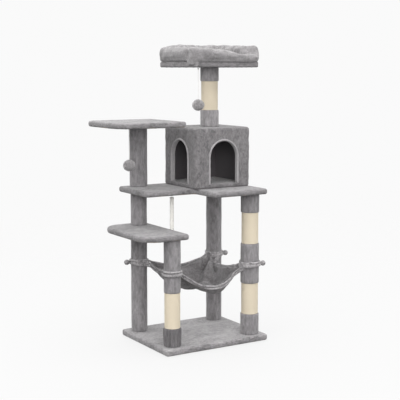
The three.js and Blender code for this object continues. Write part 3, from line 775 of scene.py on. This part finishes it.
def rim_rings():
    corners = rectangle("perch_bolster", *[RIM_OUTER] * 4)
    wide = [(x, y, RIM_WIDTH + 0.024) for x, y, _ in corners]
    span = rim_high - rim_low
    rings = []
    for o, i in zip(outline(corners, 0.001), outline(wide, RIM_WIDTH)):
        middle, half = (o + i) / 2, (o - i) / 2
        rise = rim_rise(o.x, o.y)
        tuck = 0.0
        for share_x, share_y, deep, broad in TUCKS:
            spot = Vector((rim_low.x + span.x * share_x, rim_low.y + span.y * share_y))
            away = min((o - spot).length, (i - spot).length)
            tuck += deep * math.exp(-((away / broad) ** 2))
        spill = ease((0.026 - o.x + rim_low.x) / 0.016) * ease((0.058 - abs(o.y - rim_low.y - 0.030)) / 0.014)
        spill = max(spill, 0.25 * (1 - ease((o.y - rim_low.y) / 0.030)))
        ring = []
        for step, (across, up) in enumerate(ROLL):
            foot = ease(up / 0.25)
            hang = spill * HANG[step] if step < len(HANG) else 0.0
            crumple = noise.noise(Vector((middle.x * 33 + across * 1.6, middle.y * 33, up * 2.4 + across)))
            fine = noise.noise(Vector((o.x * 85, o.y * 85, up * 5 + across * 2)))
            inner = 1.0 if across > 0 else 2.6
            shift = (0.0024 * crumple + 0.0014 * fine) * inner * foot - tuck * foot
            flat = middle + half * across * (1 + shift / half.length)
            lift = shift * max(0.0, up - 0.6) * 2.2
            ring.append(Vector((flat.x, flat.y, rim_low.z + 0.0005 + rise * up + lift - hang)))
        rings.append(ring)
    return rings


rim = new_piece("perch_rim", *joined(rim_rings(), closed=True), BED_PLUSH, "bed_plush",
                stands_for=["perch_bolster"])
plump(rim, 0.0042, 3.0, 0.0028)
finer(rim)

levels = [(0.012, 0.0), (0.004, 0.003), (0.0, 0.010), (0.0, 0.016), (0.005, 0.022), (0.014, 0.0255)]
rings = levelled(rectangle("perch_pad", *[0.036] * 4), [(inset, pad_low.z + z) for inset, z in levels])
pad = new_piece("perch_pad_plush", *joined(rings), BED_PLUSH, "bed_plush", stands_for=["perch_pad"])
plump(pad, 0.0050, 4.0, 0.008)
finer(pad)


# ---------------------------------------------------------------------------------------------
# Hammock. Two layers of soft plush sewn together, with a doubled hem and a padded cord in its
# edge. At each corner the cloth is gathered into ties that go round the post and end in a knot.
# ---------------------------------------------------------------------------------------------
HAMMOCK_LEVEL = 0.364
HAMMOCK_SAG = 0.123
FRONT_SAG = 0.098
REAR_SAG = 0.038
SIDE_SAG = 0.030
TUCK = 0.09
CORNER_X = 0.026
CORNER_Y = 0.020
HEM_CORD = 0.0048
HEM_BAND = 0.0155
COLUMNS = 120
ROWS = 96
HAMMOCK_PLUSH = plush_material("Hammock plush", (0.165, 0.157, 0.161), 17.0, 1.2, 2.4, 0.7, 0.35)
# The hem, ties and knots use a lighter copy of the plush: painted light on the rolled edges, so they stand
# out from the shaded cloth.
LIT_HEM_PLUSH = plush_material("Hem plush, painted lighter", (0.300, 0.288, 0.295), 60.0, 1.8, 2.6, 0.7, 0.35)


def post_at(cad_node):
    """A post's axis and outer radius, from its plush."""
    low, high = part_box(cad_node)
    return Vector(((low.x + high.x) / 2, (low.y + high.y) / 2)), (high.x - low.x) / 2


REAR_LEFT = post_at("rear_left_post_lower_sleeve")
FRONT_LEFT = post_at("front_left_post_upper_sleeve")
REAR_RIGHT = post_at("rear_right_post_sleeve")
FRONT_RIGHT = post_at("front_right_post_middle_sleeve")
LEGS = [FRONT_LEFT, FRONT_RIGHT, REAR_RIGHT, REAR_LEFT]
# The folds that run out from the cloth's corner at each leg: depth, folds in a full turn, first one, wander.
FOLDS = [(0.007, 12, 0.0, 3), (0.009, 12, 1.3, 3), (0.022, 11, 0.785, 1), (0.009, 12, 3.9, 3)]


def hollow(u, v, middle_u, middle_v, wide_u, wide_v):
    """1 in the middle of a dip in the cloth, falling off smoothly."""
    return math.exp(-(((u - middle_u) / wide_u) ** 2) - ((v - middle_v) / wide_v) ** 2)


def hammock_middle(u, v):
    """The sagging sheet, without its folds, for u and v from -1 to 1."""
    thicker = (1 + u) * (1 - v) * (FRONT_RIGHT[1] - FRONT_LEFT[1]) / 4
    x = (REAR_RIGHT[0].x - CORNER_X - thicker) * u * (1 - TUCK * (1 - v * v))
    y = (REAR_RIGHT[0].y - CORNER_Y - thicker) * v * (1 - TUCK * (1 - u * u))
    lean = (1 - u * u) * (1 + 0.48 * u) * FRONT_SAG if v < 0 else (1 - abs(u) ** 1.6) * REAR_SAG
    front = lean * v * v
    sides = (1 - v * v) * SIDE_SAG * u * u * (1.2 + 0.2 * u)
    sides += 0.018 * hollow(u, v, 1, 0.80, 0.3, 0.22) - 0.022 * hollow(u, v, 0.86, 1, 0.13, 0.16)
    middle = (1 - abs(u) ** 2.2) * (1 - v * v) * HAMMOCK_SAG
    rim = (1 - abs(u) ** 14) * (1 - abs(v) ** 14)
    slack = 0.052 * hollow(u, v, -0.93, -0.45, 0.20, 0.42) + 0.020 * hollow(u, v, 0.50, -0.78, 0.35, 0.30)
    return Vector((x, y, HAMMOCK_LEVEL - front - sides - middle - rim * slack))


def hammock_point(u, v):
    """A point of the cloth: it wraps the posts, and folds run out from its gathered corners."""
    p = hammock_middle(u, v)
    fold = 0.0
    for k, ((leg, radius), (depth, count, first, wild)) in enumerate(zip(LEGS, FOLDS)):
        flat = Vector((p.x, p.y)) - leg
        reach = flat.length
        angle = math.atan2(flat.y, flat.x)
        near = max(0.0, reach - radius) / 0.075
        height = depth * near * math.exp(1 - near * 0.9) * math.exp(-max(0.0, near - 2.6))
        wander = 0.5 * noise.noise(Vector((p.x * 11, p.y * 11, k * 5.0)))
        ridge = math.cos(angle * count + first + wander * wild)
        fold += height * math.copysign(abs(ridge) ** 0.8, ridge)
        if reach < radius + 0.004:
            flat = flat.normalized() * (radius + 0.004)
            p.x, p.y = leg.x + flat.x, leg.y + flat.y
    bowl = (1 - u * u) * (1 - v * v)
    fold += 0.009 * bowl * noise.noise(Vector((p.x * 13, p.y * 17, 1.0)))
    edge = min(1.0, (1 - max(abs(u), abs(v))) / 0.10)
    return p + UP * (fold * (0.25 + 0.75 * edge))


def spread(total):
    """Steps from -1 to 1 that are closer together near both ends."""
    steps = [2 * k / total - 1 for k in range(total + 1)]
    return [0.72 * t + 0.28 * (1.5 * t - 0.5 * t ** 3) for t in steps]


def hammock_cloth():
    grid = [[hammock_point(u, v) for u in spread(COLUMNS)] for v in spread(ROWS)]
    upper, lower = [], []
    for j in range(ROWS + 1):
        for i in range(COLUMNS + 1):
            along = grid[j][min(i + 1, COLUMNS)] - grid[j][max(i - 1, 0)]
            across = grid[min(j + 1, ROWS)][i] - grid[max(j - 1, 0)][i]
            normal = along.cross(across).normalized()
            ends = (grid[j][0], grid[j][-1], grid[0][i], grid[-1][i])
            margin = min((grid[j][i] - end).length for end in ends)
            second_cord = 0.0026 * math.exp(-(((margin - HEM_BAND) / 0.0042) ** 2))
            stitch = 0.0009 * math.exp(-(((margin - HEM_BAND * 1.55) / 0.0020) ** 2))
            half = 0.0019 + second_cord - stitch
            upper.append(grid[j][i] + normal * half)
            lower.append(grid[j][i] - normal * half)
    width = COLUMNS + 1
    layer = len(upper)
    faces = []
    for j in range(ROWS):
        for i in range(COLUMNS):
            a = j * width + i
            faces.append((a, a + 1, a + width + 1, a + width))
            faces.append((layer + a, layer + a + width, layer + a + width + 1, layer + a + 1))
    edge = list(range(COLUMNS)) + [j * width + COLUMNS for j in range(ROWS)]
    edge += [ROWS * width + i for i in range(COLUMNS, 0, -1)] + [j * width for j in range(ROWS, 0, -1)]
    for a, b in zip(edge, edge[1:] + edge[:1]):
        faces.append((a, layer + a, layer + b, b))
    area = sum(
        (grid[j + 1][i + 1] - grid[j][i]).cross(grid[j + 1][i] - grid[j][i + 1]).length / 2
        for j in range(ROWS) for i in range(COLUMNS)
    )
    return upper + lower, faces, area


points, faces, cloth_area = hammock_cloth()
hammock = new_piece("hammock_cloth", points, faces, HAMMOCK_PLUSH, "hammock_plush", stands_for=["hammock"])


def smooth_path(corners, spacing, closed=False):
    """A smooth line through points, resampled evenly."""
    total = len(corners)
    fine = []
    for i in range(total if closed else total - 1):
        near = [i + k for k in (-1, 0, 1, 2)]
        near = [k % total for k in near] if closed else [min(max(k, 0), total - 1) for k in near]
        a, b, c, d = (corners[k] for k in near)
        for k in range(12):
            t = k / 12
            fine.append(0.5 * (2 * b + (c - a) * t + (2 * a - 5 * b + 4 * c - d) * t * t
                               + (3 * b - a - 3 * c + d) * t ** 3))
    fine.append(corners[0] if closed else corners[-1])
    lengths = [0.0]
    for a, b in zip(fine, fine[1:]):
        lengths.append(lengths[-1] + (b - a).length)
    count = max(4, round(lengths[-1] / spacing))
    path, at = [], 0
    for k in range(count if closed else count + 1):
        goal = lengths[-1] * k / count
        while at < len(fine) - 2 and lengths[at + 1] < goal:
            at += 1
        share = (goal - lengths[at]) / max(lengths[at + 1] - lengths[at], 1e-9)
        path.append(fine[at].lerp(fine[at + 1], min(share, 1.0)))
    return path


def carried(path, up=UP, closed=False):
    """Places along a path for a section, turning as little as they can."""
    places, side = [], None
    total = len(path)
    for k, p in enumerate(path):
        before = path[k - 1] if closed or k else p
        after = path[(k + 1) % total] if closed or k < total - 1 else p
        way = (after - before).normalized()
        if side is None:
            side = way.cross(up).normalized()
        side = (side - way * side.dot(way)).normalized()
        places.append((p, side, way.cross(side)))
    return places


def turned(sides):
    """Angles once round, starting at 0."""
    return [2 * math.pi * k / sides for k in range(sides)]


def round_section(radius, sides=14, lobes=0, depth=0.0, phase=0.0):
    """A round section, or one with lobes round it."""
    reach = [(a, radius * (1 + depth * math.cos(lobes * a + phase))) for a in turned(sides)]
    return [(r * math.cos(a), r * math.sin(a)) for a, r in reach]


# The padded cord lies in the cloth's edge and runs round the outside of each post.
edge_lines = [
    [hammock_point(-0.94 + 1.88 * k / 16, -1.0) for k in range(17)],
    [hammock_point(1.0, -0.90 + 1.80 * k / 14) for k in range(15)],
    [hammock_point(0.94 - 1.88 * k / 16, 1.0) for k in range(17)],
    [hammock_point(-1.0, 0.90 - 1.80 * k / 14) for k in range(15)],
]
around = []
for line, (leg, radius) in zip(edge_lines, (FRONT_RIGHT, REAR_RIGHT, REAR_LEFT, FRONT_LEFT)):
    around += [p for p in line if min((Vector((p.x, p.y)) - l).length - r for l, r in LEGS) > 0.016]
    outward = math.atan2(leg.y, leg.x)
    reach = radius + HEM_CORD * 0.8
    for k in range(9):
        a = outward + math.radians(-92 + 184 * k / 8)
        across, deep = reach * math.cos(a), reach * math.sin(a)
        around.append(Vector((leg.x + across, leg.y + deep, HAMMOCK_LEVEL + 0.004)))
path = smooth_path(around, 0.006, closed=True)
with_hammock = []
for name, lower, thick in (("outer", 0.0060, HEM_CORD), ("inner", -0.0060, HEM_CORD * 0.92)):
    strand = []
    for k, p in enumerate(path):
        clear = min((Vector((p.x, p.y)) - leg).length - radius for leg, radius in LEGS)
        free = max(clear - 0.012, 0.0) / 0.03
        twist = 1.5 * noise.noise(Vector((k * 0.055, 0.3, 0.5))) * min(free, 1.0)
        toward = Vector((-p.x, -p.y, 0)).normalized() * math.sin(twist) * lower
        strand.append(p + toward + UP * (math.cos(twist) * lower))
    shape = swept(
        carried(strand, closed=True),
        lambda i: round_section(thick * (1 + 0.16 * noise.noise(Vector((i * 0.31, lower * 700, 0))))),
        closed=True,
    )
    with_hammock.append(new_piece("hammock_hem_" + name, *shape, LIT_HEM_PLUSH, "hammock_plush"))


def tie(name, leg, radius, level, slope, toward, thick, wide, gathered):
    """A gathered band round a post. It is widest where the cloth runs into it and narrows to the knot."""
    around = turned(64)
    inward = math.atan2(-leg.y, -leg.x)
    places = []
    for a in around:
        reach = radius + thick * 0.55
        z = level + slope * math.cos(a - toward) + 0.0012 * noise.noise(Vector((a, level * 50, radius * 90)))
        place = Vector((leg.x + reach * math.cos(a), leg.y + reach * math.sin(a), z))
        places.append((place, Vector((math.cos(a), math.sin(a), 0)), UP))

    def section(i):
        a = around[i]
        away = abs((a - inward + math.pi) % (2 * math.pi) - math.pi) / math.pi
        tall = wide * (1 + gathered * (1 - away) ** 1.5)
        ring = []
        for b in turned(18):
            folds = 1 + 0.13 * math.cos(5 * b + 3 * noise.noise(Vector((a * 1.5, 0, level * 30))))
            ring.append((thick * 0.55 * math.cos(b) * folds, tall * math.sin(b) * (0.92 + 0.08 * folds)))
        return ring

    return new_piece(name, *swept(places, section, closed=True), LIT_HEM_PLUSH, "hammock_plush")


# The stuffed ball's outline, from the end that is drawn in to the tip: (along, how wide).
BALL = [(-1.32, 0.42), (-1.08, 0.50), (-0.86, 0.66), (-0.62, 0.86), (-0.3, 0.99), (0.02, 1.03),
        (0.34, 0.98), (0.62, 0.80), (0.84, 0.54), (0.97, 0.26), (1.0, 0.06)]
BALL_SIZE = 0.0125


def stuffed_knot(name, leg, radius, facing):
    """A stuffed ball at the end of a tie, puckered where it is drawn in."""
    out = Vector((math.cos(facing), math.sin(facing), 0))
    centre = Vector((leg.x, leg.y, HAMMOCK_LEVEL)) + out * (radius + 0.009 + BALL_SIZE)
    places = [(centre + out * BALL_SIZE * along, out.cross(UP), UP) for along, _ in BALL]

    def section(i):
        along, wide = BALL[i]
        return round_section(BALL_SIZE * wide, 28, 7, 0.10 * max(0.0, -along) + 0.03)

    knot = new_piece(name, *swept(places, section), LIT_HEM_PLUSH, "hammock_plush")
    finer(knot)
    return knot


for corner, (leg, radius), facing, gathered in (
    ("rear_left", REAR_LEFT, 0.9 * math.pi, 1.3),
    ("front_left", FRONT_LEFT, 0.33 * math.pi, 0.3),
    ("rear_right", REAR_RIGHT, -0.1 * math.pi, 0.5),
    ("front_right", FRONT_RIGHT, -0.1 * math.pi, 1.3),
):
    strap, loop = HAMMOCK_LEVEL - 0.0035, HAMMOCK_LEVEL + 0.011
    with_hammock += [
        tie("hammock_tie_" + corner, leg, radius, strap, 0.002, facing, 0.0085, 0.0062, gathered),
        tie("hammock_loop_" + corner, leg, radius, loop, 0.003, facing + 1.2, 0.0064, 0.0040, 0.4),
        stuffed_knot("hammock_knot_" + corner, leg, radius, facing),
    ]


# ---------------------------------------------------------------------------------------------
# Toys. A pompom of cut yarn hangs on a thin white string under the perch, and another under the
# side platform. Each string is knotted to a staple in the board.
# ---------------------------------------------------------------------------------------------
STRING = 0.0020
TUFTS = 1500


def yarn_material(name, dark, light, size):
    """Cut yarn, with a little variation from tuft to tuft."""
    material, tree, shader = new_material(name, {"Roughness": 0.95, "Sheen Weight": 0.4})
    place = node(tree, "TexCoord")
    tufts = node(tree, "TexNoise", {"Scale": size, "Detail": 3.0})
    tone = ramp(tree, (0.30, dark), (0.68, light))
    bump = node(tree, "Bump", {"Distance": 0.0008})
    wire(tree, (place, "Object", tufts, "Vector"), (tufts, "Fac", tone, "Fac"),
         (tone, "Color", shader, "Base Color"), (tufts, "Fac", bump, "Height"), (bump, 0, shader, "Normal"))
    return material


POMPOM = yarn_material("Pompom yarn", (0.26, 0.25, 0.255), (0.62, 0.60, 0.61), 150.0)
WHITE_STRING = yarn_material("White string", (0.60, 0.59, 0.57), (0.84, 0.83, 0.80), 1500.0)


def pompom(name, cad_node, body):
    """A tied ball of yarn: a dense core covered with cut tufts that point outwards."""
    low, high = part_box(cad_node)
    centre = (low + high) / 2
    reach = (high - low) / 2
    points, faces = [], []
    core = bmesh.new()
    bmesh.ops.create_icosphere(core, subdivisions=4, radius=1.0)
    for vertex in core.verts:
        lump = 0.80 + 0.06 * noise.noise(vertex.co * 4.0)
        points.append(centre + vertex.co * reach * lump)
    faces += [tuple(v.index for v in face.verts) for face in core.faces]
    core.free()
    golden = math.pi * (3 - math.sqrt(5))
    for k in range(TUFTS):
        up = 1 - 2 * (k + 0.5) / TUFTS
        flat = math.sqrt(1 - up * up)
        out = Vector((flat * math.cos(golden * k), flat * math.sin(golden * k), up))
        out = (out + Vector([random.uniform(-0.14, 0.14) for _ in range(3)])).normalized()
        side = out.orthogonal().normalized()
        other = out.cross(side)
        bend = side * random.uniform(-0.12, 0.12) + other * random.uniform(-0.12, 0.12)
        tip = random.uniform(0.97, 1.09)
        first = len(points)
        for far, wide in ((0.70, 0.030), (0.90, 0.040), (tip, 0.012)):
            middle = out * far + bend * (far - 0.7)
            for a in turned(3):
                points.append(centre + (middle + (side * math.cos(a) + other * math.sin(a)) * wide) * reach)
        faces.append((first, first + 2, first + 1))
        for row in range(2):
            for corner in range(3):
                a, b = first + row * 3 + corner, first + row * 3 + (corner + 1) % 3
                faces.append((a, b, b + 3, a + 3))
        faces.append((first + 6, first + 7, first + 8))
    return new_piece(name, points, faces, POMPOM, "pompom_fur", body, stands_for=[cad_node])


def staple(name, x, y, level):
    """One staple left proud of the board, with a string tied through it."""
    path = [Vector((x + across, y, level + up)) for across, up in (
        (-0.005, 0.002), (-0.005, -0.0018), (-0.0035, -0.0032),
        (0.0035, -0.0032), (0.005, -0.0018), (0.005, 0.002))]
    shape = swept(carried(path, Vector((0, 1, 0))), lambda i: round_section(0.0007, 8))
    new_piece(name, *shape, STEEL, "steel")


def knotted(cad_node, wide, bulge, tall, steps):
    """A closed line that runs round as a knot does, inside a CAD node's box, and half the node's width."""
    low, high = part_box(cad_node)
    middle = (low + high) / 2
    size = (high.x - low.x) / 2
    loop = []
    for a in turned(steps):
        ring = size * wide * (1 + bulge * math.cos(3 * a))
        up = size * tall * math.sin(3 * a)
        loop.append(middle + Vector((ring * math.cos(2 * a), ring * math.sin(2 * a), up)))
    return loop, size


def toy(name, board):
    low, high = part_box(name + "_string")
    x, y = (low.x + high.x) / 2, (low.y + high.y) / 2
    path = [Vector((x, y, high.z + (low.z - high.z) * k / 20)) for k in range(21)]
    shape = swept(carried(path, Vector((1, 0, 0))),
                  lambda i: round_section(STRING / 2 * 0.93, 12, 2, 0.13, i * 1.9))
    string = new_piece(name + "_twine", *shape, WHITE_STRING, "toy_string", name, [name + "_string"])
    ball = pompom(name + "_ball", name + "_pompom", name)
    loop, size = knotted(name + "_knot", 0.62, 0.35, 0.55, 40)
    shape = swept(carried(loop, closed=True), lambda i: round_section(size * 0.42, 8), closed=True)
    new_piece(name + "_tied_knot", *shape, WHITE_STRING, "toy_string", name + "_knot", [name + "_knot"])
    staple(name + "_staple", x, y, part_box(board + "_cover")[0].z)


toy("perch_toy", "perch")
toy("side_toy", "side_platform")


# ---------------------------------------------------------------------------------------------
# Hanging rope. Three strands of thick cotton laid together, tied to a staple under the middle
# platform, with a plain overhand knot at the lower end.
# ---------------------------------------------------------------------------------------------
ROPE = yarn_material("Cotton rope", (0.80, 0.78, 0.73), (0.95, 0.94, 0.90), 420.0)
ROPE_LOOP = [(-0.25, -0.9), (-0.75, -0.2), (-0.55, 0.65), (0.0, 0.95), (0.55, 0.65), (0.75, -0.2),
             (0.25, -0.9)]
rope_low, rope_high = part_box("hanging_rope")
eye_low, eye_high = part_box("hanging_rope_eye")
rope_x, rope_y = (rope_low.x + rope_high.x) / 2, (rope_low.y + rope_high.y) / 2
rope_radius = (rope_high.x - rope_low.x) / 2
rope_path = [Vector((rope_x, rope_y, rope_high.z + (rope_low.z - rope_high.z) * k / 72)) for k in range(73)]


def strands(i, radius, sides=30):
    """Three strands seen end on, turned a little at each step."""
    section = []
    for a in turned(sides):
        r = radius * (0.80 + 0.20 * abs(math.cos(1.5 * (a - i * 0.36))) ** 0.6)
        section.append((r * math.cos(a), r * math.sin(a)))
    return section


shape = swept(carried(rope_path, Vector((1, 0, 0))), lambda i: strands(i, rope_radius))
rope = new_piece("hanging_rope_strands", *shape, ROPE, "cotton_rope", "rope", ["hanging_rope"])
loop, size = knotted("hanging_rope_end_knot", 0.46, 0.42, 0.48, 90)
shape = swept(carried(loop, closed=True), lambda i: strands(i, size * 0.42, 24), closed=True)
rope_knot = new_piece("hanging_rope_knot", *shape, ROPE, "cotton_rope", "rope", ["hanging_rope_end_knot"])
middle = (eye_low + eye_high) / 2
half = (eye_high.z - eye_low.z) / 2
path = smooth_path([middle + Vector((half * x, 0, half * z)) for x, z in ROPE_LOOP], 0.0006)
shape = swept(carried(path, Vector((0, 1, 0))), lambda i: strands(i, half * 0.34, 12))
new_piece("hanging_rope_loop", *shape, ROPE, "cotton_rope", "rope_eye", ["hanging_rope_eye"])
staple("hanging_rope_staple", rope_x, rope_y, middle_low.z)


# ---------------------------------------------------------------------------------------------
# Setting. A white floor that fades into the backdrop, broad soft lights from above and both
# sides, and a camera a little above the middle platform, left of the front.
# ---------------------------------------------------------------------------------------------
FLOOR_RINGS = (0.4, 1.5, 3.0, 5.0, 7.0)
FLOOR_GLOW = 0.80


def grey(value):
    return (value, value, value)


def floor_material():
    """White paper that fades out towards its rim."""
    material, tree, shader = new_material("White paper", {
        "Roughness": 0.9, "Specular IOR Level": 0.1, "Emission Color": (1.0, 1.0, 1.0, 1.0)})
    place = node(tree, "TexCoord")
    far = node(tree, "VectorMath", operation="LENGTH")
    fade = node(tree, "MapRange", {"From Min": 1.2, "From Max": 4.5, "To Min": 1.0, "To Max": 0.0},
                interpolation_type="SMOOTHSTEP")
    grain = node(tree, "TexNoise", {"Scale": 300.0})
    tone = ramp(tree, (0.0, grey(0.078)), (1.0, grey(0.082)))
    seen = node(tree, "LightPath")
    glow = node(tree, "Math", {1: FLOOR_GLOW}, operation="MULTIPLY")
    wire(tree, (place, "Object", far, 0), (far, "Value", fade, "Value"), (fade, 0, shader, "Alpha"),
         (place, "Object", grain, "Vector"), (grain, "Fac", tone, "Fac"),
         (tone, "Color", shader, "Base Color"),
         (seen, "Is Camera Ray", glow, 0), (glow, 0, shader, "Emission Strength"))
    return material


rings = [[Vector((r * math.cos(a), r * math.sin(a), -0.0005)) for a in turned(96)] for r in FLOOR_RINGS]
mesh = bpy.data.meshes.new("Floor")
mesh.from_pydata([tuple(p) for ring in rings for p in ring], [], ring_faces(rings) + [tuple(range(96))])
mesh.materials.append(floor_material())
floor = placed("Floor", mesh)

world = bpy.data.worlds.new("Studio")
scene.world = world
world.use_nodes = True
tree = world.node_tree
tree.nodes.clear()
backdrop = node(tree, "Background", {"Color": (*grey(0.955), 1.0)})
light = node(tree, "Background", {"Strength": 1.75})
sky = node(tree, "TexCoord")
split = node(tree, "SeparateXYZ")
height = node(tree, "MapRange", {"From Min": -1.0})
tone = ramp(tree, (0.40, grey(0.24)), (1.0, grey(1.0)), (0.52, grey(0.58)))
rays = node(tree, "LightPath")
blend = node(tree, "MixShader")
result = node(tree, "OutputWorld")
wire(tree, (sky, "Generated", split, 0), (split, "Z", height, "Value"), (height, 0, tone, "Fac"),
     (tone, "Color", light, "Color"), (rays, "Is Camera Ray", blend, 0), (light, 0, blend, 1),
     (backdrop, 0, blend, 2), (blend, 0, result, 0))


def softbox(name, place, target, size, power):
    lamp = bpy.data.lights.new(name, "AREA")
    lamp.shape = "DISK"
    lamp.size = size
    lamp.energy = power
    lamp.color = (1.0, 0.995, 0.985)
    box = placed(name, lamp)
    box.location = place
    box.rotation_euler = (Vector(target) - Vector(place)).to_track_quat("-Z", "Y").to_euler()


softbox("Top light", (-0.5, -0.4, 3.9), (0.0, 0.0, 0.6), 2.8, 48.0)
softbox("Left light", (-3.2, -1.6, 2.0), (0.0, 0.0, 0.7), 1.8, 16.0)
softbox("Front light", (-1.6, -4.4, 1.9), (0.0, 0.0, 0.7), 2.4, 80.0)

scene.view_settings.view_transform = "Standard"
scene.view_settings.look = "None"

CAMERA_TURN = math.radians(31.582)
CAMERA_DOWN = math.radians(6.109)
lens = bpy.data.cameras.new("Camera")
lens.lens = 88.355
lens.sensor_width = 36.0
lens.shift_y = -0.06
camera = placed("Camera", lens)
camera.location = (-2.3789, -3.9229, 1.2684)
looking = Vector((
    math.sin(CAMERA_TURN) * math.cos(CAMERA_DOWN),
    math.cos(CAMERA_TURN) * math.cos(CAMERA_DOWN),
    -math.sin(CAMERA_DOWN),
))
camera.rotation_euler = looking.to_track_quat("-Z", "Y").to_euler()
scene.camera = camera
